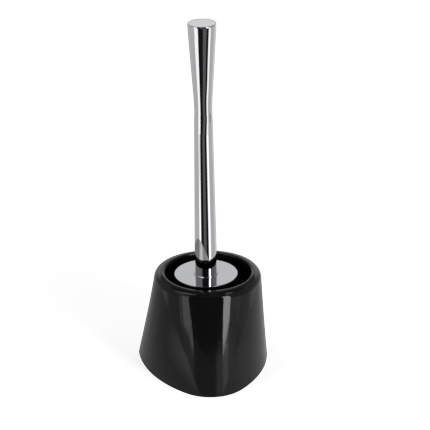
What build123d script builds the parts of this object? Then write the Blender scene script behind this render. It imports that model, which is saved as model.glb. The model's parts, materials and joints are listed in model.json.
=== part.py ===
"""Toilet brush standing in its holder. Millimetres, +Z up, origin on the floor under the middle of the holder.

The holder's front corner points to -Y. The brush stands in a lift-out cup and leans a little towards -X.
"""

import os
from math import atan2, cos, degrees, hypot, radians, sin, sqrt

from build123d import *

os.makedirs("parts", exist_ok=True)

# --- Driving dimensions --------------------------------------------------------------------------

# Holder shell: a rounded triangle at the floor that rises to a round mouth
shell_height = 103.0            # floor to the crest of the rim
shell_lift = 0.8                # the feet hold the shell's lower edge off the floor
shell_wall = 2.4
front_corner_reach = 40.5       # middle of the triangle to the centre of its front corner's arc
front_corner_radius = 41.0
back_corner_reach = 42.5
back_corner_radius = 31.0
back_corner_bearing = 30.0      # degrees from +X
side_radius = 125.0
rim_sharp_radius = 54.4         # radius of the wall at the crest's level, before the rim is rounded
rim_round = 7.8
mouth_radius = 44.7
mouth_round = 1.8
mouth_shift = 3.3               # the mouth stands this far to +X of the triangle's middle
mouth_setback = 1.0             # and this far behind it
seat_shift = 2.65               # the cup and the brush stand this far to +X of the triangle's middle
lip_wall = 2.2                  # the lip hangs inside the mouth
lip_depth = 6.0

# Base plate, in a rebate of the shell's lower edge, and its feet
rebate_wall = 1.4
rebate_top = 4.0
plate_bottom = 1.6
fit_gap = 0.05
cup_seat_height = 2.4
cup_seat_wall = 1.6
cup_seat_gap = 0.4
foot_radius = 7.0
foot_reach = 50.0               # middle of the triangle to each foot
foot_pocket = 0.6
foot_edge_round = 0.5

# Lift-out cup
cup_floor = 2.0
cup_wall = 1.5
cup_foot_radius = 37.5
cup_top_radius = 39.8
cup_flange_radius = 42.0
cup_flange_thickness = 1.5
cup_top = 84.0
cup_foot_round = 1.4

# Lid and thread. Heights from here on are measured along the brush's own axis, from the floor
lean = 0.76                     # degrees from upright
lid_top = 100.5
lid_thickness = 1.2
lid_radius = 32.75
lid_edge_round = 0.4
ring_radius = 12.5
ring_height = 0.9
ring_bevel = 0.5
washer_radius = 14.0
washer_thickness = 2.0
stud_radius = 6.0
running_gap = 0.06
thread_engaged = 11.5
stud_chamfer = 1.0

# Handle
handle_top = 369.3
tube_wall = 1.0
tube_foot_radius = 11.3
shoulder_height = 266.0         # end of the long lower taper
shoulder_radius = 8.95
waist_height = 281.5
waist_radius = 8.55
flare_height = 295.0            # start of the straight flare
flare_radius = 9.16
crown_height = 356.0            # start of the flare's rounded end
crown_radius = 13.15
handle_top_radius = 13.7
cap_thickness = 1.5
cap_edge_round = 0.4
spigot_length = 8.0
spigot_radius = 12.1
spigot_wall = 1.6
plug_length = 24.0

# Brush head
core_radius = 8.5
core_flange_radius = 13.0
core_flange_height = 4.4
core_flange_round = 1.0
core_bottom = 15.0
core_end_round = 4.0
thread_depth = 16.0
row_count = 8
first_row_height = 21.0
row_pitch = 9.6
row_thickness = 6.4
row_radius = 35.6
end_row_radius = 34.6
row_round = 2.4
tip_bottom = 6.9
tip_radius = 26.0
tip_round = 6.0

# --- Worked-out places ---------------------------------------------------------------------------


def side_centre(start, start_radius, end, end_radius):
    """Centre of the side arc that is tangent to two corner arcs."""
    start_reach = side_radius - start_radius
    end_reach = side_radius - end_radius
    span_x = end[0] - start[0]
    span_y = end[1] - start[1]
    span = hypot(span_x, span_y)
    along = (start_reach**2 - end_reach**2 + span**2) / (2 * span)
    across = sqrt(start_reach**2 - along**2)
    return (
        start[0] + (span_x * along - span_y * across) / span,
        start[1] + (span_y * along + span_x * across) / span,
    )


def bearing(start, end):
    """Direction from start to end, in degrees from +X."""
    return degrees(atan2(end[1] - start[1], end[0] - start[0]))


back_x = back_corner_reach * cos(radians(back_corner_bearing))
back_y = back_corner_reach * sin(radians(back_corner_bearing))
back_side = side_centre((back_x, back_y), back_corner_radius, (-back_x, back_y), back_corner_radius)
# The triangle's middle is placed so that its front and back stand equally far from the origin
middle_y = (front_corner_reach + front_corner_radius - back_side[1] - side_radius) / 2
corners = [
    ((0, middle_y - front_corner_reach), front_corner_radius),
    ((back_x, middle_y + back_y), back_corner_radius),
    ((-back_x, middle_y + back_y), back_corner_radius),
]

# The outline's arcs, anticlockwise: centre, radius, first and last bearing
outline_arcs = []
for index, (corner, radius) in enumerate(corners):
    previous, previous_radius = corners[index - 1]
    following, following_radius = corners[(index + 1) % 3]
    side_before = side_centre(previous, previous_radius, corner, radius)
    side_after = side_centre(corner, radius, following, following_radius)
    turn_start = bearing(side_before, corner)
    turn_end = bearing(side_after, corner)
    outline_arcs.append((corner, radius, turn_start, turn_end))
    outline_arcs.append((side_after, side_radius, turn_end, bearing(side_after, following)))

mouth = (mouth_shift, middle_y + mouth_setback)
seat = (seat_shift, mouth[1])
foot_bearings = {"front": -90.0, "right": back_corner_bearing, "left": 180.0 - back_corner_bearing}

cup_section = Plane(origin=(*seat, 0), x_dir=(1, 0, 0), z_dir=(0, -1, 0))
cup_axis = Axis((*seat, 0), (0, 0, 1))

# On the brush's section plane, X is the distance from the brush's axis and Y the height along it
brush_up = (-sin(radians(lean)), 0, cos(radians(lean)))
brush_side = (cos(radians(lean)), 0, sin(radians(lean)))
brush_section = Plane(origin=(*seat, 0), x_dir=brush_side, z_dir=(0, -1, 0))
brush_base = Plane(origin=(*seat, 0), x_dir=brush_side, z_dir=brush_up)
brush_axis = Axis((*seat, 0), brush_up)

lid_bottom = lid_top - lid_thickness
core_top = lid_bottom - washer_thickness
tube_bottom = lid_top + ring_height
tube_top = handle_top - cap_thickness
stud_bottom = core_top - thread_engaged
bore_radius = stud_radius + running_gap


def wall_face(height, inset=0.0):
    """Level cut through the shell's straight wall at a height, drawn in by inset."""
    share = (height - shell_lift) / (shell_height - shell_lift)
    with BuildSketch(Plane.XY.offset(height)) as cut:
        with BuildLine():
            for centre, radius, first, last in outline_arcs:
                centre_x = centre[0] + (mouth[0] - centre[0]) * share
                centre_y = centre[1] + (mouth[1] - centre[1]) * share
                reach = radius + (rim_sharp_radius - radius) * share - inset
                turn = (last - first) % 360
                points = []
                for part_way in (0, 0.5, 1):
                    angle = radians(first + turn * part_way)
                    points.append((centre_x + reach * cos(angle), centre_y + reach * sin(angle)))
                ThreePointArc(*points)
        make_face()
    return cut.sketch


def wall_block(bottom, top, inset=0.0):
    """Solid that fills the shell's straight walls between two heights, drawn in by inset."""
    with BuildPart() as block:
        loft([wall_face(bottom, inset), wall_face(top, inset)], ruled=True)
    return block.part


def handle_face(inset):
    """Half section of the handle's outside, drawn in by inset, from its axis outwards."""
    with BuildSketch(brush_section) as half:
        with BuildLine():
            Line((0, tube_bottom), (tube_foot_radius - inset, tube_bottom))
            Line((tube_foot_radius - inset, tube_bottom), (shoulder_radius - inset, shoulder_height))
            Spline(
                (shoulder_radius - inset, shoulder_height),
                (waist_radius - inset, waist_height),
                (flare_radius - inset, flare_height),
                tangents=[
                    (shoulder_radius - tube_foot_radius, shoulder_height - tube_bottom),
                    (crown_radius - flare_radius, crown_height - flare_height),
                ],
            )
            flare = Line((flare_radius - inset, flare_height), (crown_radius - inset, crown_height))
            TangentArc((crown_radius - inset, crown_height), (handle_top_radius - inset, tube_top), tangent=flare % 1)
            Line((handle_top_radius - inset, tube_top), (0, tube_top))
            Line((0, tube_top), (0, tube_bottom))
        make_face()
    return half.sketch


def brush_disc(bottom, thickness, radius, hole_radius=0.0):
    """Disc across the brush's axis, from a height along it, with a hole if one is given."""
    with BuildPart() as disc:
        with BuildSketch(brush_base.offset(bottom)):
            Circle(radius)
            if hole_radius:
                Circle(hole_radius, mode=Mode.SUBTRACT)
        extrude(amount=thickness)
    return disc.part


# --- Holder shell --------------------------------------------------------------------------------

cavity_top = shell_height - shell_wall

# The space under the rim, inside the shell's walls, all but the lip that hangs inside the mouth
with BuildPart() as cavity:
    add(wall_block(shell_lift, cavity_top, shell_wall))
    fillet(cavity.faces().sort_by(Axis.Z)[-1].edges(), radius=rim_round - shell_wall)
    with BuildSketch(Plane.XY.offset(shell_height - lip_depth)):
        with Locations(mouth):
            Circle(mouth_radius + lip_wall)
    extrude(amount=lip_depth, mode=Mode.SUBTRACT)

with BuildPart() as holder_shell:
    add(wall_block(shell_lift, shell_height))
    fillet(holder_shell.faces().sort_by(Axis.Z)[-1].edges(), radius=rim_round)
    add(cavity.part, mode=Mode.SUBTRACT)
    add(wall_block(shell_lift, rebate_top, rebate_wall), mode=Mode.SUBTRACT)
    with BuildSketch(Plane.XY.offset(shell_height)):
        with Locations(mouth):
            Circle(mouth_radius)
    extrude(amount=-2 * lip_depth, mode=Mode.SUBTRACT)
    crest = holder_shell.faces().sort_by(Axis.Z)[-1]
    fillet(crest.inner_wires()[0].edges(), radius=mouth_round)
holder_shell.part.label = "holder_shell"
export_step(holder_shell.part, "parts/holder_shell.step")

# --- Base plate and feet -------------------------------------------------------------------------

foot_places = []
for foot_bearing in foot_bearings.values():
    angle = radians(foot_bearing)
    foot_places.append((foot_reach * cos(angle), middle_y + foot_reach * sin(angle)))

cup_seat_radius = cup_foot_radius + cup_seat_gap
with BuildPart() as base_plate:
    add(wall_block(plate_bottom, rebate_top, rebate_wall + fit_gap))
    with BuildSketch(Plane.XY.offset(rebate_top)):
        with Locations(seat):
            Circle(cup_seat_radius + cup_seat_wall)
            Circle(cup_seat_radius, mode=Mode.SUBTRACT)
    extrude(amount=cup_seat_height)
    with BuildSketch(Plane.XY.offset(plate_bottom)):
        with Locations(*foot_places):
            Circle(foot_radius + fit_gap)
    extrude(amount=foot_pocket, mode=Mode.SUBTRACT)
base_plate.part.label = "base_plate"
export_step(base_plate.part, "parts/base_plate.step")

for side, place in zip(foot_bearings, foot_places):
    with BuildPart() as foot:
        with BuildSketch(Plane.XY):
            with Locations(place):
                Circle(foot_radius)
        extrude(amount=plate_bottom + foot_pocket)
        fillet(foot.faces().sort_by(Axis.Z)[0].edges(), radius=foot_edge_round)
    foot.part.label = f"foot_{side}"
    export_step(foot.part, f"parts/foot_{side}.step")

# --- Lift-out cup --------------------------------------------------------------------------------

cup_bottom = rebate_top
flange_bottom = cup_top - cup_flange_thickness
with BuildPart() as inner_cup:
    with BuildSketch(cup_section) as cup_half:
        with BuildLine():
            Polyline(
                (0, cup_bottom),
                (cup_foot_radius, cup_bottom),
                (cup_top_radius, flange_bottom),
                (cup_flange_radius, flange_bottom),
                (cup_flange_radius, cup_top),
                (cup_top_radius - cup_wall, cup_top),
                (cup_foot_radius - cup_wall, cup_bottom + cup_floor),
                (0, cup_bottom + cup_floor),
                close=True,
            )
        make_face()
        foot_corners = cup_half.vertices().group_by(Axis.Y)[0]
        fillet(foot_corners.sort_by(Axis.X)[-1], radius=cup_foot_round)
    revolve(axis=cup_axis)
    mouth_edges = inner_cup.edges().filter_by(GeomType.CIRCLE).group_by(Axis.Z)[-1]
    fillet(mouth_edges, radius=cup_flange_thickness / 3)
inner_cup.part.label = "inner_cup"
export_step(inner_cup.part, "parts/inner_cup.step")

# --- Brush head ----------------------------------------------------------------------------------

with BuildPart() as brush_core:
    with BuildSketch(brush_section):
        with BuildLine():
            Polyline(
                (0, core_bottom),
                (core_radius, core_bottom),
                (core_radius, core_top - core_flange_height),
                (core_flange_radius, core_top - core_flange_height),
                (core_flange_radius, core_top),
                (bore_radius, core_top),
                (bore_radius, core_top - thread_depth),
                (0, core_top - thread_depth),
                close=True,
            )
        make_face()
    revolve(axis=brush_axis)
    rims = brush_core.edges().filter_by(GeomType.CIRCLE)
    fillet(rims.sort_by(brush_axis)[0], radius=core_end_round)
    flange_rims = rims.filter_by(lambda edge: edge.radius > core_radius + fit_gap)
    fillet(flange_rims, radius=core_flange_round)
brush_core.part.label = "brush_core"
export_step(brush_core.part, "parts/brush_core.step")

for row in range(row_count):
    row_bottom = first_row_height + row * row_pitch - row_thickness / 2
    outer_radius = end_row_radius if row in (0, row_count - 1) else row_radius
    with BuildPart() as bristle_row:
        add(brush_disc(row_bottom, row_thickness, outer_radius, core_radius + fit_gap))
        rims = bristle_row.edges().filter_by(GeomType.CIRCLE)
        fillet(rims.filter_by(lambda edge: edge.radius > core_flange_radius), radius=row_round)
    bristle_row.part.label = f"bristle_row_{row + 1}"
    export_step(bristle_row.part, f"parts/bristle_row_{row + 1}.step")

with BuildPart() as bristle_tip:
    add(brush_disc(tip_bottom, core_bottom - fit_gap - tip_bottom, tip_radius))
    fillet(bristle_tip.faces().sort_by(brush_axis)[0].edges(), radius=tip_round)
bristle_tip.part.label = "bristle_tip"
export_step(bristle_tip.part, "parts/bristle_tip.step")

# --- Lid, washer and thread ----------------------------------------------------------------------

with BuildPart() as seal_washer:
    add(brush_disc(core_top, washer_thickness, washer_radius, bore_radius))
seal_washer.part.label = "seal_washer"
export_step(seal_washer.part, "parts/seal_washer.step")

with BuildPart() as lid_disc:
    add(brush_disc(lid_bottom, lid_thickness, lid_radius, bore_radius))
    rims = lid_disc.edges().filter_by(GeomType.CIRCLE)
    fillet(rims.filter_by(lambda edge: edge.radius > washer_radius), radius=lid_edge_round)
lid_disc.part.label = "lid_disc"
export_step(lid_disc.part, "parts/lid_disc.step")

with BuildPart() as lid_ring:
    add(brush_disc(lid_top, ring_height, ring_radius, bore_radius))
    rims = lid_ring.edges().filter_by(GeomType.CIRCLE).sort_by(brush_axis)[-2:]
    chamfer(rims.filter_by(lambda edge: edge.radius > bore_radius + fit_gap), length=ring_bevel)
lid_ring.part.label = "lid_ring"
export_step(lid_ring.part, "parts/lid_ring.step")

stud_top = tube_bottom + plug_length - running_gap
with BuildPart() as threaded_stud:
    add(brush_disc(stud_bottom, stud_top - stud_bottom, stud_radius))
    chamfer(threaded_stud.faces().sort_by(brush_axis)[0].edges(), length=stud_chamfer)
threaded_stud.part.label = "threaded_stud"
export_step(threaded_stud.part, "parts/threaded_stud.step")

# --- Handle --------------------------------------------------------------------------------------

with BuildPart() as handle_tube:
    add(handle_face(0))
    revolve(axis=brush_axis)
    add(handle_face(tube_wall))
    revolve(axis=brush_axis, mode=Mode.SUBTRACT)
handle_tube.part.label = "handle_tube"
export_step(handle_tube.part, "parts/handle_tube.step")

taper = (tube_foot_radius - shoulder_radius) / (shoulder_height - tube_bottom)
plug_radius = tube_foot_radius - tube_wall - fit_gap
with BuildPart() as handle_plug:
    with BuildSketch(brush_section):
        with BuildLine():
            Polyline(
                (stud_radius, tube_bottom),
                (plug_radius, tube_bottom),
                (plug_radius - taper * plug_length, tube_bottom + plug_length),
                (stud_radius, tube_bottom + plug_length),
                close=True,
            )
        make_face()
    revolve(axis=brush_axis)
handle_plug.part.label = "handle_plug"
export_step(handle_plug.part, "parts/handle_plug.step")

with BuildPart() as handle_end_cap:
    add(brush_disc(tube_top, cap_thickness, handle_top_radius))
    fillet(handle_end_cap.faces().sort_by(brush_axis)[-1].edges(), radius=cap_edge_round)
    add(brush_disc(tube_top - spigot_length, spigot_length, spigot_radius, spigot_radius - spigot_wall))
handle_end_cap.part.label = "handle_end_cap"
export_step(handle_end_cap.part, "parts/handle_end_cap.step")
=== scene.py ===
"""Looks of the toilet brush and its holder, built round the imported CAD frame. Metres, +Z up."""

import json
import random
from math import cos, pi, radians, sin

import bpy
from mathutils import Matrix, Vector


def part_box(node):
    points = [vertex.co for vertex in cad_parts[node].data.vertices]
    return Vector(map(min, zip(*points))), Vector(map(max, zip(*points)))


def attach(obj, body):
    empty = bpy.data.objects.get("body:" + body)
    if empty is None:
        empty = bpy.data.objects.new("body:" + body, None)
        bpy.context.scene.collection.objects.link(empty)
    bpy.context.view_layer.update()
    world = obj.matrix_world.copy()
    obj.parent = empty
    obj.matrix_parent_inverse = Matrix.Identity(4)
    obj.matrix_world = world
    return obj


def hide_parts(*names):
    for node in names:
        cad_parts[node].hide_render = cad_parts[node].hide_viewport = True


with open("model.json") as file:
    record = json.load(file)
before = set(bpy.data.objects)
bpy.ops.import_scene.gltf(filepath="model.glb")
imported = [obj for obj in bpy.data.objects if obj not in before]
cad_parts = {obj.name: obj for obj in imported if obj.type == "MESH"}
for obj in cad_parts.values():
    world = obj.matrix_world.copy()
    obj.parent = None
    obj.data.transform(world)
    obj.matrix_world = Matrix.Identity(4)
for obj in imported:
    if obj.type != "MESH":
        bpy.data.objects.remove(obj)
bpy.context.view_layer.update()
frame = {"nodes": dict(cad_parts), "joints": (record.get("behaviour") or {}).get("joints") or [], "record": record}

MM = 0.001
nodes = frame["nodes"]
joints = {joint["name"]: joint for joint in frame["joints"]}

# The brush's own axis: it leans a little, and passes through brush_foot on the floor
brush_up = Vector(joints["handle_turn"]["axis"]).normalized()
brush_foot = Vector(joints["handle_turn"]["pos_m"])
brush_front = Vector((0, -1, 0))
brush_right = brush_up.cross(brush_front).normalized()


def along_brush(node):
    """Lowest and highest place of a CAD node along the brush's axis, and its least and widest radius."""
    heights, radii = [], []
    for vertex in nodes[node].data.vertices:
        arm = vertex.co - brush_foot
        height = arm.dot(brush_up)
        heights.append(height)
        radii.append((arm - brush_up * height).length)
    return min(heights), max(heights), min(radii), max(radii)


def on_brush(radius, turn, height):
    """Point at a radius from the brush's axis, a turn about it and a height along it."""
    out = brush_right * cos(turn) + brush_front * sin(turn)
    return brush_foot + out * radius + brush_up * height


# --- Materials -----------------------------------------------------------------------------------


class Surface:
    """A Principled material with a procedural texture on the object's own coordinates."""

    def __init__(self, name, color, metallic=0.0, roughness=0.5, ior=1.5):
        self.material = bpy.data.materials.new(name)
        self.material.use_nodes = True
        self.tree = self.material.node_tree
        self.shader = self.tree.nodes["Principled BSDF"]
        self.shader.inputs["Base Color"].default_value = (*color, 1)
        self.shader.inputs["Metallic"].default_value = metallic
        self.shader.inputs["Roughness"].default_value = roughness
        self.shader.inputs["IOR"].default_value = ior
        self.place = self.node("ShaderNodeTexCoord").outputs["Object"]

    def node(self, kind, **inputs):
        made = self.tree.nodes.new(kind)
        for socket, value in inputs.items():
            made.inputs[socket.replace("_", " ")].default_value = value
        return made

    def link(self, output, socket):
        self.tree.links.new(output, socket)

    def noise(self, scale, detail=3.0, stretch=(1, 1, 1)):
        mapping = self.node("ShaderNodeMapping", Scale=stretch)
        texture = self.node("ShaderNodeTexNoise", Scale=scale, Detail=detail)
        self.link(self.place, mapping.inputs["Vector"])
        self.link(mapping.outputs["Vector"], texture.inputs["Vector"])
        return texture.outputs["Fac"]

    def spread(self, factor, low, high, start=0.3, end=0.7):
        """The factor, between start and end, as a value from low to high."""
        span = self.node("ShaderNodeMapRange", From_Min=start, From_Max=end, To_Min=low, To_Max=high)
        self.link(factor, span.inputs["Value"])
        return span.outputs["Result"]

    def tint(self, factor, dark, light):
        ramp = self.node("ShaderNodeValToRGB")
        ramp.color_ramp.elements[0].position = 0.3
        ramp.color_ramp.elements[0].color = (*dark, 1)
        ramp.color_ramp.elements[1].position = 0.7
        ramp.color_ramp.elements[1].color = (*light, 1)
        self.link(factor, ramp.inputs["Fac"])
        self.link(ramp.outputs["Color"], self.shader.inputs["Base Color"])

    def rough(self, factor, low, high):
        self.link(self.spread(factor, low, high), self.shader.inputs["Roughness"])

    def bump(self, factor, height, strength=1.0):
        bump = self.node("ShaderNodeBump", Strength=strength, Distance=height)
        self.link(factor, bump.inputs["Height"])
        self.link(bump.outputs["Normal"], self.shader.inputs["Normal"])


def gloss_black():
    """Polished black moulding: deep, with a faint haze of handling."""
    made = Surface("shell_black", (0.008, 0.008, 0.009), roughness=0.06)
    made.tint(made.noise(9, 4), (0.006, 0.006, 0.007), (0.010, 0.010, 0.011))
    made.rough(made.noise(55, 5), 0.045, 0.085)
    made.bump(made.noise(28, 2), 0.00002)
    return made.material


def satin_black(name, color, roughness=0.38):
    made = Surface(name, color, roughness=roughness)
    darker = tuple(channel * 0.75 for channel in color)
    made.tint(made.noise(60, 5), darker, color)
    made.rough(made.noise(140, 4), roughness - 0.06, roughness + 0.06)
    made.bump(made.noise(2400, 2), 0.00004)
    return made.material


def chrome(name):
    made = Surface(name, (0.64, 0.645, 0.665), metallic=1.0, roughness=0.03)
    made.tint(made.noise(14, 4), (0.62, 0.625, 0.648), (0.66, 0.665, 0.682))
    made.rough(made.noise(70, 6), 0.02, 0.045)
    return made.material


def rubber(name, color):
    made = Surface(name, color, roughness=0.75)
    darker = tuple(channel * 0.7 for channel in color)
    made.tint(made.noise(220, 5), darker, color)
    made.bump(made.noise(1800, 3), 0.00006)
    return made.material


def turned_steel():
    made = Surface("stud_steel", (0.55, 0.55, 0.56), metallic=1.0, roughness=0.3)
    grooves = made.noise(500, 3, stretch=(0.1, 0.1, 6))
    made.tint(grooves, (0.46, 0.46, 0.47), (0.6, 0.6, 0.61))
    made.rough(grooves, 0.22, 0.4)
    made.bump(grooves, 0.00002)
    return made.material


def nylon(name, color, roughness=0.42):
    made = Surface(name, color, roughness=roughness)
    darker = tuple(channel * 0.8 for channel in color)
    made.tint(made.noise(90, 4), darker, color)
    made.rough(made.noise(400, 3), roughness - 0.08, roughness + 0.08)
    made.bump(made.noise(1500, 2), 0.00003)
    return made.material


materials = {
    "shell_black": gloss_black(),
    "base_black": satin_black("base_black", (0.016, 0.016, 0.017), 0.5),
    "foot_rubber": rubber("foot_rubber", (0.05, 0.05, 0.052)),
    "cup_black": satin_black("cup_black", (0.007, 0.007, 0.008), 0.32),
    "core_black": satin_black("core_black", (0.014, 0.014, 0.015), 0.42),
    "bristles": nylon("bristles", (0.014, 0.014, 0.016), 0.4),
    "washer_rubber": rubber("washer_rubber", (0.02, 0.02, 0.02)),
    "lid_chrome": chrome("lid_chrome"),
    "stud_steel": turned_steel(),
    "handle_chrome": chrome("handle_chrome"),
    "plug_white": nylon("plug_white", (0.62, 0.61, 0.57)),
}
slot_of = {part["node"]: part["material_slot"] for part in frame["record"]["subparts"]}
for name, node in nodes.items():
    node.data.materials.clear()
    node.data.materials.append(materials[slot_of[name]])

# --- Bristles ------------------------------------------------------------------------------------

TUFTS_IN_ROW = 16
FILAMENTS_IN_TUFT = 34
FILAMENT_RADIUS = 0.19 * MM
FILAMENT_SIDES = 4
FILAMENT_STEPS = (0, 0.35, 0.7, 0.97, 1)
# Share of the radius that is left at the rounded end
FILAMENT_END = 0.45
FILAMENT_BOW = 0.35 * MM
ROOT_SPREAD = 1.3 * MM
ROOT_DEPTH = 1.0 * MM
TIP_SPREAD_AROUND = 5.2 * MM
TIP_SPREAD_ALONG = 4.4 * MM
# Share of the spread that a tip may stray by
TIP_STRAY = 0.22
TIP_UNEVEN = 0.9 * MM


def new_piece(name, points, faces, body, slot, *replaced):
    """Smooth mesh that rides on a body and stands for CAD nodes."""
    mesh = bpy.data.meshes.new(name)
    mesh.from_pydata(points, [], faces)
    mesh.validate()
    for polygon in mesh.polygons:
        polygon.use_smooth = True
    mesh.materials.append(materials[slot])
    piece = bpy.data.objects.new(name, mesh)
    bpy.context.scene.collection.objects.link(piece)
    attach(piece, body)
    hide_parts(*replaced)
    return piece


def add_filament(points, faces, root, tip, bow):
    """One thin bristle from root to tip, a little bent, with a rounded end."""
    run = (tip - root).normalized()
    across = run.orthogonal().normalized()
    beside = run.cross(across)
    first = len(points)
    for step in FILAMENT_STEPS:
        middle = root.lerp(tip, step) + bow * (4 * step * (1 - step))
        radius = FILAMENT_RADIUS * (FILAMENT_END if step == 1 else 1)
        for side in range(FILAMENT_SIDES):
            turn = 2 * pi * side / FILAMENT_SIDES
            points.append(middle + (across * cos(turn) + beside * sin(turn)) * radius)
    for ring in range(len(FILAMENT_STEPS) - 1):
        for side in range(FILAMENT_SIDES):
            beyond = (side + 1) % FILAMENT_SIDES
            here = first + ring * FILAMENT_SIDES
            above = here + FILAMENT_SIDES
            faces.append((here + side, here + beyond, above + beyond, above + side))
    last = first + (len(FILAMENT_STEPS) - 1) * FILAMENT_SIDES
    faces.append([first + side for side in reversed(range(FILAMENT_SIDES))])
    faces.append([last + side for side in range(FILAMENT_SIDES)])


def in_disc(draw, radius):
    """Random place in a disc, evenly spread."""
    turn = draw.uniform(0, 2 * pi)
    reach = radius * draw.random() ** 0.5
    return reach * cos(turn), reach * sin(turn)


def bristle_row(number):
    """A ring of tufts that stands straight out of the core."""
    node = f"bristle_row_{number}"
    low, high, core_radius, tip_radius = along_brush(node)
    middle = (low + high) / 2
    draw = random.Random(number)
    points, faces = [], []
    for tuft in range(TUFTS_IN_ROW):
        bearing = 2 * pi * (tuft + number % 2 / 2) / TUFTS_IN_ROW
        for _ in range(FILAMENTS_IN_TUFT):
            around, along = in_disc(draw, 1)
            root_turn = bearing + around * ROOT_SPREAD / core_radius
            root = on_brush(core_radius - ROOT_DEPTH, root_turn, middle + along * ROOT_SPREAD)
            around += draw.uniform(-TIP_STRAY, TIP_STRAY)
            along = max(-1, min(1, along + draw.uniform(-TIP_STRAY, TIP_STRAY)))
            tip_turn = bearing + around * TIP_SPREAD_AROUND / tip_radius
            tip_reach = tip_radius - FILAMENT_RADIUS - draw.uniform(0, TIP_UNEVEN)
            tip = on_brush(tip_reach, tip_turn, middle + along * TIP_SPREAD_ALONG)
            bow = brush_up * draw.uniform(-FILAMENT_BOW, FILAMENT_BOW)
            add_filament(points, faces, root, tip, bow)
    new_piece(f"bristle_tufts_{number}", points, faces, "head", "bristles", node)


bristle_rows = sum(name.startswith("bristle_row_") for name in nodes)
for number in range(1, bristle_rows + 1):
    bristle_row(number)

# The tip's tufts: rings of (tufts, degrees below level) on the core's rounded end
TIP_RINGS = [(14, 10), (12, 28), (8, 47), (5, 66), (1, 90)]
TIP_ROOT_HEIGHT = 3.5 * MM
TIP_ROOT_RADIUS = 5.0 * MM
TIP_FAN = radians(13)
TIP_STEEPEST = radians(99)
# Shares of the full reach: a tip's least drop below the roots, and the shortest filament
TIP_LEAST_DROP = 0.3
TIP_SHORTEST = 0.94


def bristle_tip():
    """Tufts that fan out of the core's lower end, down and to the side."""
    low, high, _, tip_radius = along_brush("bristle_tip")
    reach_out = tip_radius - FILAMENT_RADIUS
    reach_down = high + TIP_ROOT_HEIGHT - low - FILAMENT_RADIUS
    draw = random.Random(0)
    points, faces = [], []
    for ring, (tufts, droop) in enumerate(TIP_RINGS):
        for tuft in range(tufts):
            bearing = 2 * pi * (tuft + ring % 2 / 2) / tufts
            for _ in range(FILAMENTS_IN_TUFT):
                around, along = in_disc(draw, 1)
                fall = min(radians(droop) + along * TIP_FAN, TIP_STEEPEST)
                turn = bearing + around * TIP_FAN
                stretch = draw.uniform(TIP_SHORTEST, 1)
                root_up = TIP_ROOT_HEIGHT * (1 - sin(fall))
                root = on_brush(TIP_ROOT_RADIUS * cos(fall), turn, high + root_up)
                tip_out = reach_out * cos(fall) * stretch
                tip_down = reach_down * max(sin(fall), TIP_LEAST_DROP) * stretch
                tip = on_brush(tip_out, turn, high + TIP_ROOT_HEIGHT - tip_down)
                add_filament(points, faces, root, tip, Vector())
    new_piece("bristle_tip_tufts", points, faces, "head", "bristles", "bristle_tip")


bristle_tip()

# --- Thread --------------------------------------------------------------------------------------

THREAD_PITCH = 3.0 * MM
THREAD_DEPTH = 0.85 * MM
THREAD_LEAD_IN = 2.0 * MM
# How steeply the flanks rise, and how much of that is lost to a flat groove between them
THREAD_FLANK = 2.2
THREAD_GROOVE = 0.6
THREAD_SIDES = 64
RINGS_IN_PITCH = 16


def thread_radius(low, height, turn, major):
    """Radius of a rounded right-hand thread, that rises out of the plain end."""
    phase = (height / THREAD_PITCH - turn / (2 * pi)) % 1
    rise = min(1, max(0, THREAD_FLANK * abs(2 * phase - 1) - THREAD_GROOVE))
    crest = rise * rise * (3 - 2 * rise)
    lead_in = min(1, (height - low) / THREAD_LEAD_IN)
    return major - THREAD_DEPTH * (1 - crest * lead_in)


def threaded_stud():
    """The stud with its thread, as rings of points from end to end."""
    low, high, _, major = along_brush("threaded_stud")
    rings = round((high - low) / THREAD_PITCH * RINGS_IN_PITCH)
    points, faces = [], []
    for ring in range(rings + 1):
        height = low + (high - low) * ring / rings
        for side in range(THREAD_SIDES):
            turn = 2 * pi * side / THREAD_SIDES
            points.append(on_brush(thread_radius(low, height, turn, major), turn, height))
    for ring in range(rings):
        for side in range(THREAD_SIDES):
            here = ring * THREAD_SIDES
            beyond = (side + 1) % THREAD_SIDES
            above = here + THREAD_SIDES
            faces.append((here + side, here + beyond, above + beyond, above + side))
    faces.append(list(reversed(range(THREAD_SIDES))))
    faces.append([rings * THREAD_SIDES + side for side in range(THREAD_SIDES)])
    new_piece("stud_thread", points, faces, "handle", "stud_steel", "threaded_stud")


threaded_stud()

# --- Camera --------------------------------------------------------------------------------------

VIEW_AZIMUTH = radians(-7.82)
VIEW_ELEVATION = radians(23.84)
VIEW_DISTANCE = 1.6452
AIM_RIGHT = 8.94 * MM
AIM_AWAY = 11.22 * MM
AIM_HEIGHT = 166.3 * MM
SENSOR_MM = 36.0
LENS_MM = 135.3
CLIP_END = 50

plate_low, plate_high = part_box("base_plate")
stand = (plate_low + plate_high) / 2
view_right = Vector((cos(VIEW_AZIMUTH), sin(VIEW_AZIMUTH), 0))
view_away = Vector((-sin(VIEW_AZIMUTH), cos(VIEW_AZIMUTH), 0))
aim = Vector((stand.x, stand.y, AIM_HEIGHT)) + view_right * AIM_RIGHT + view_away * AIM_AWAY
back = view_away * -cos(VIEW_ELEVATION) + Vector((0, 0, sin(VIEW_ELEVATION)))

camera_data = bpy.data.cameras.new("camera")
camera_data.sensor_width = SENSOR_MM
camera_data.lens = LENS_MM
camera_data.clip_end = CLIP_END
camera = bpy.data.objects.new("camera", camera_data)
camera.location = aim + back * VIEW_DISTANCE
camera.rotation_euler = back.to_track_quat("Z", "Y").to_euler()
bpy.context.scene.collection.objects.link(camera)
bpy.context.scene.camera = camera

# --- Stage and light -----------------------------------------------------------------------------

scene = bpy.context.scene
scene.view_settings.view_transform = "Standard"


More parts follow.
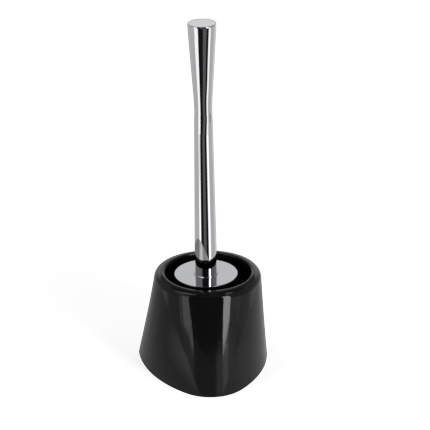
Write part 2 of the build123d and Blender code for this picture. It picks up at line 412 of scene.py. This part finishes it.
def toward(bearing, distance, height):
    """Point at a bearing from the camera's side, positive to the camera's right."""
    turned = radians(bearing)
    flat = view_away * -cos(turned) + view_right * sin(turned)
    return Vector((stand.x, stand.y, height)) + flat * distance


CARD_ROUGHNESS = 0.9


def stage_mesh(name, points, faces, shade=0.0, glow=0.0):
    """Matt grey or glowing card, or floor, that isn't part of the object."""
    mesh = bpy.data.meshes.new(name)
    mesh.from_pydata(points, [], faces)
    card = bpy.data.objects.new(name, mesh)
    material = bpy.data.materials.new(name)
    material.use_nodes = True
    shader = material.node_tree.nodes["Principled BSDF"]
    shader.inputs["Base Color"].default_value = (shade, shade, shade, 1)
    shader.inputs["Roughness"].default_value = CARD_ROUGHNESS
    shader.inputs["Emission Color"].default_value = (1, 1, 1, 1)
    shader.inputs["Emission Strength"].default_value = glow
    if shade == 0:
        shader.inputs["Specular IOR Level"].default_value = 0
    mesh.materials.append(material)
    card.visible_shadow = False
    scene.collection.objects.link(card)
    return card


# The floor catches the object's shadow, which its glow keeps faint
FLOOR_REACH = 3.0
FLOOR_SHADE = 0.82
FLOOR_GLOW = 0.5
floor_corners = [toward(bearing, FLOOR_REACH, 0) for bearing in (-45, 45, 135, 225)]
floor = stage_mesh("floor", floor_corners, [range(4)], FLOOR_SHADE, FLOOR_GLOW)
floor.is_shadow_catcher = True
floor.visible_shadow = True
floor.visible_glossy = False

# What the polished faces see of the floor: only a round table near the object
TABLE_REACH = 0.295
TABLE_SHIFT = view_right * -0.03
TABLE_SIDES = 60
# Its painted shade, greyer than the floor round the object and darker on the left than on the right, over the real
# light that falls on it
TABLE_HALF_WIDTH = 0.15
TABLE_LEFT_PAINTED_SHADE = 0.25
TABLE_RIGHT_PAINTED_SHADE = 0.44
# A painted pool of light in it, that the tube's foot mirrors: full as far as the core, none past the edge
PAINTED_POOL_MIDDLE = toward(-50, 0.27, 0)
PAINTED_POOL_CORE = 0.03
PAINTED_POOL_EDGE = 0.15
PAINTED_POOL_SHADE = 0.50


def table_painted_shade(tree):
    """The table's painted shade, from left to right, with the painted pool of light on top."""
    place = tree.nodes.new("ShaderNodeTexCoord").outputs["Object"]

    def measured(operation, other, start, end, low, high):
        vector = tree.nodes.new("ShaderNodeVectorMath")
        vector.operation = operation
        vector.inputs[1].default_value = other
        tree.links.new(place, vector.inputs[0])
        span = tree.nodes.new("ShaderNodeMapRange")
        for socket, number in (("From Min", start), ("From Max", end), ("To Min", low), ("To Max", high)):
            span.inputs[socket].default_value = number
        tree.links.new(vector.outputs["Value"], span.inputs["Value"])
        return span.outputs["Result"]

    # Painted shade across the table, with the painted pool of light added on top
    across = (-TABLE_HALF_WIDTH, TABLE_HALF_WIDTH, TABLE_LEFT_PAINTED_SHADE, TABLE_RIGHT_PAINTED_SHADE)
    both = tree.nodes.new("ShaderNodeMath")
    both.operation = "ADD"
    tree.links.new(measured("DOT_PRODUCT", view_right, *across), both.inputs[0])
    tree.links.new(measured("DISTANCE", PAINTED_POOL_MIDDLE, PAINTED_POOL_CORE, PAINTED_POOL_EDGE, PAINTED_POOL_SHADE, 0), both.inputs[1])
    return both.outputs["Value"]


def lay_table():
    """The round table, for glossy rays only, with painted shade and a painted pool of light."""
    edge = [toward(360 * side / TABLE_SIDES, TABLE_REACH, 0) + TABLE_SHIFT for side in range(TABLE_SIDES)]
    table = stage_mesh("table", edge, [range(TABLE_SIDES)], shade=TABLE_LEFT_PAINTED_SHADE)
    table.visible_camera = False
    table.visible_diffuse = False
    tree = table.active_material.node_tree
    tree.links.new(table_painted_shade(tree), tree.nodes["Principled BSDF"].inputs["Base Color"])


lay_table()


def screen(name, glow, columns):
    """Upright lit card through columns of (bearing, distance, bottom, top)."""
    points = []
    for bearing, distance, bottom, top in columns:
        points += [toward(bearing, distance, bottom), toward(bearing, distance, top)]
    faces = [(2 * step, 2 * step + 2, 2 * step + 3, 2 * step + 1) for step in range(len(columns) - 1)]
    stage_mesh(name, points, faces, glow=glow).visible_camera = False


screen("soft_box_left", 1.35, [(-54, 0.54, 0, 0.3), (-41, 0.85, 0, 0.45)])
screen("soft_box_left_side", 0.6, [(-60, 0.45, 0, 0.26), (-54, 0.54, 0, 0.3)])
screen("soft_box_right", 5.0, [(33, 1.2, 0.035, 0.9), (49, 1.2, 0.02, 0.9)])
# The unlit room behind the camera: its lower edge is a curve of (bearing, height) a little over the floor
ROOM_DISTANCE = 1.0
ROOM_TOP = 1.0
room_edge = [(-41, 0.012), (-25, 0.055), (-8, 0.073), (10, 0.072), (25, 0.066), (33, 0.048)]
screen("dark_room", 0.01, [(bearing, ROOM_DISTANCE, bottom, ROOM_TOP) for bearing, bottom in room_edge])

# Five narrow cards stand side by side close round the handle's flare, bright, dark, dim, dark and bright.
# Six edges run between them, each with a bearing for each height
CARDS_DISTANCE = 0.12
CARD_HEIGHTS = (0.214, 0.250, 0.330)
CARD_EDGES = [(-66, -66, -66), (-44, -40, -36), (-12, 2, 8), (20, 33, 41), (40, 54, 62), (64, 74, 81)]
CARD_GLOWS = (1.4, 0.012, 0.13, 0.012, 1.4)
for number, glow in enumerate(CARD_GLOWS):
    points = []
    for level, height in enumerate(CARD_HEIGHTS):
        for edge in CARD_EDGES[number:number + 2]:
            points.append(toward(edge[level], CARDS_DISTANCE, height))
    card = stage_mesh(f"flare_card_{number}", points, [(0, 1, 3, 2), (2, 3, 5, 4)], glow=glow)
    card.visible_camera = False
    card.visible_diffuse = False


class Surround:
    """Strength of the studio's surroundings for each direction, painted layer on layer."""

    def __init__(self, tree, level):
        self.tree = tree
        self.level = level
        place = tree.nodes.new("ShaderNodeTexCoord")
        self.direction = place.outputs["Generated"]
        to_right = self.along(view_right)
        to_front = self.along(-view_away)
        turn = self.math("ARCTAN2", to_right, to_front)
        self.bearing = self.math("MULTIPLY", turn, 180 / pi)
        self.around = self.math("ABSOLUTE", self.bearing)
        rise = self.math("ARCSINE", self.along(Vector((0, 0, 1))))
        self.elevation = self.math("MULTIPLY", rise, 180 / pi)

    def along(self, axis):
        """Part of the direction along an axis."""
        dot = self.tree.nodes.new("ShaderNodeVectorMath")
        dot.operation = "DOT_PRODUCT"
        self.tree.links.new(self.direction, dot.inputs[0])
        dot.inputs[1].default_value = axis
        return dot.outputs["Value"]

    def set(self, socket, value):
        """Give a socket a number, or link another node's output to it."""
        if isinstance(value, (int, float)):
            socket.default_value = value
        else:
            self.tree.links.new(value, socket)

    def math(self, operation, first, second=0.0):
        made = self.tree.nodes.new("ShaderNodeMath")
        made.operation = operation
        self.set(made.inputs[0], first)
        self.set(made.inputs[1], second)
        return made.outputs[0]

    def ramp(self, value, start, end, low=0.0, high=1.0):
        """Soft step from low to high as the value goes from start to end."""
        span = self.tree.nodes.new("ShaderNodeMapRange")
        span.interpolation_type = "SMOOTHSTEP"
        self.set(span.inputs["Value"], value)
        for socket, number in (("From Min", start), ("From Max", end), ("To Min", low), ("To Max", high)):
            span.inputs[socket].default_value = number
        return span.outputs["Result"]

    def between(self, value, first, last, soft):
        """1 from first to last and 0 outside, with soft edges."""
        rise = self.ramp(value, first - soft, first + soft)
        fall = self.ramp(value, last - soft, last + soft, 1.0, 0.0)
        return self.math("MULTIPLY", rise, fall)

    def paint(self, level, *shares):
        """Lay a level over what is there, where all the shares are 1."""
        share = shares[0]
        for other in shares[1:]:
            share = self.math("MULTIPLY", share, other)
        mixed = self.tree.nodes.new("ShaderNodeMix")
        self.set(mixed.inputs["Factor"], share)
        self.set(mixed.inputs["A"], self.level)
        self.set(mixed.inputs["B"], level)
        self.level = mixed.outputs["Result"]


world = bpy.data.worlds.new("studio")
world.use_nodes = True
scene.world = world
tree = world.node_tree

# Angles are in degrees. The ceiling is dim and the walls are paler, and the rest is painted over them.
CEILING = 0.10
WALLS = 0.26
WALL_TOP = (40, 50)
STEEP_EDGE = (-16.5, -15)
studio = Surround(tree, CEILING)
bearing, elevation = studio.bearing, studio.elevation
walls = studio.ramp(elevation, *WALL_TOP, 1.0, 0.0)
over_table = studio.ramp(elevation, *STEEP_EDGE)
steep_down = studio.ramp(elevation, *STEEP_EDGE, 1.0, 0.0)
studio.paint(WALLS, walls)

# Behind the object, as the lid and the top face mirror it: (level, lowest, highest elevation)
BACK_PARTS = ((0.15, 28, 45), (0.50, -8, 12), (0.89, 12, 20), (0.74, 20, 27.5))
behind = studio.ramp(studio.around, 130, 160)
for level, lowest, highest in BACK_PARTS:
    studio.paint(level, studio.between(elevation, lowest, highest, 1.0), behind)

# The right side: a dark wall over a paler floor, whose far edge falls to the right
studio.paint(0.19, walls, over_table, studio.between(bearing, 50, 95, 4.0))
EDGE_MIDDLE = 62
EDGE_SLOPE = 0.31
past_middle = studio.math("SUBTRACT", bearing, EDGE_MIDDLE)
over_edge = studio.math("ADD", elevation, studio.math("MULTIPLY", past_middle, EDGE_SLOPE))
right_floor = studio.ramp(over_edge, -6.6, -5.6, 1.0, 0.0)
studio.paint(0.50, right_floor, studio.between(bearing, 49, 76, 3.0))
studio.paint(0.36, right_floor, studio.between(bearing, 76, 105, 3.0))
below_10 = studio.ramp(elevation, 0, 10, 1.0, 0.0)
studio.paint(0.36, over_table, below_10, studio.between(bearing, 105, 140, 6.0))

# The floor in front, under the dark room and the soft boxes: (level, first, last bearing, softness)
near_level = studio.between(elevation, -16, 8, 1.0)
FLOOR_PARTS = ((0.12, -41, 20, 8), (0.33, -62, -45, 3), (0.47, 18, 33, 5), (0.85, 35, 50, 3))
for level, first, last, soft in FLOOR_PARTS:
    studio.paint(level, near_level, studio.between(bearing, first, last, soft))

# Steeply down, as the handle mirrors it: a pale floor that is paler at the back on the right
studio.paint(0.60, steep_down)
studio.paint(0.95, steep_down, studio.ramp(bearing, 110, 160))
studio.paint(0.36, studio.between(elevation, -18.0, -12, 0.3), studio.between(bearing, 86, 114, 3.0))
# and on it the dark room, a dim band in its middle and two lit strips
STRIPS = ((0.012, -48, 38, 1), (0.13, -16, 12, 4), (1.6, -68, -47, 1), (1.6, 37, 62, 1))
for level, first, last, soft in STRIPS:
    studio.paint(level, steep_down, studio.between(bearing, first, last, soft))

# Two lamps high up, that the rim's crest mirrors: (level, elevations, bearings)
LAMPS = ((0.9, (35, 64), (-90, -60)), (0.6, (55, 68), (60, 95)))
for level, rises, turns in LAMPS:
    studio.paint(level, studio.between(elevation, *rises, 2.0), studio.between(bearing, *turns, 3.0))

# The camera itself sees plain white
path = tree.nodes.new("ShaderNodeLightPath")
backdrop = tree.nodes.new("ShaderNodeMix")
backdrop.inputs["B"].default_value = 1.0
tree.links.new(path.outputs["Is Camera Ray"], backdrop.inputs["Factor"])
tree.links.new(studio.level, backdrop.inputs["A"])
tree.links.new(backdrop.outputs["Result"], tree.nodes["Background"].inputs["Strength"])
tree.nodes["Background"].inputs["Color"].default_value = (1, 1, 1, 1)
